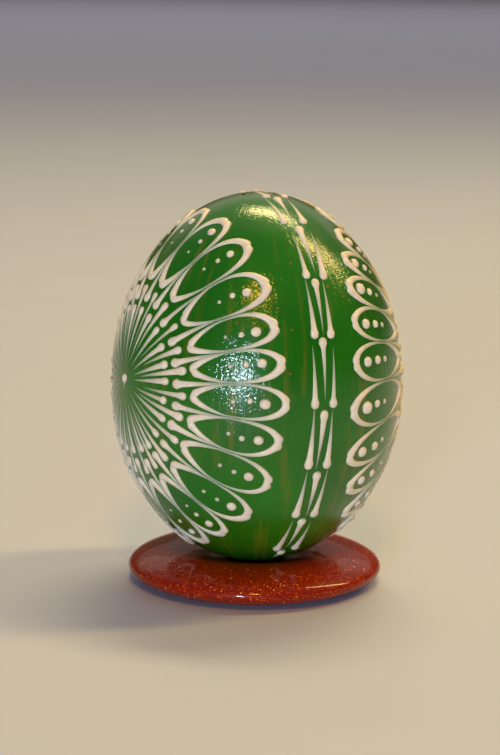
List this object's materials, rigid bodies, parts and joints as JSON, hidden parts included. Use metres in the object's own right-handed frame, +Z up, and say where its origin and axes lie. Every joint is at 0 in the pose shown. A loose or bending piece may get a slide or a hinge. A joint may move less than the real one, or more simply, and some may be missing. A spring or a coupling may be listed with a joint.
{
  "type": "painted easter egg on a ring stand",
  "caption": "Painted egg with a raised pattern of wax drops, rosettes on both flanks and a band round its ends, standing upright on a polished glass ring.",
  "frame": {"origin": "centre of the ring's underside, on the surface that it stands on", "axes": "+Z up along the egg's long axis; -Y towards the picture's viewpoint, with the first rosette to the left"},
  "size_m": [0.046, 0.0461, 0.0618],
  "materials": {
    "painted_shell": "deep green brushed paint on brown eggshell under glossy varnish",
    "white_wax": "cream-white wax drops, satin, thinning to translucent tails",
    "goldstone_glass": "polished red-brown glass full of fine copper sparkles"
  },
  "bodies": {
    "root": {"egg": "painted_shell", "stand": "goldstone_glass"}
  },
  "joints": []
}
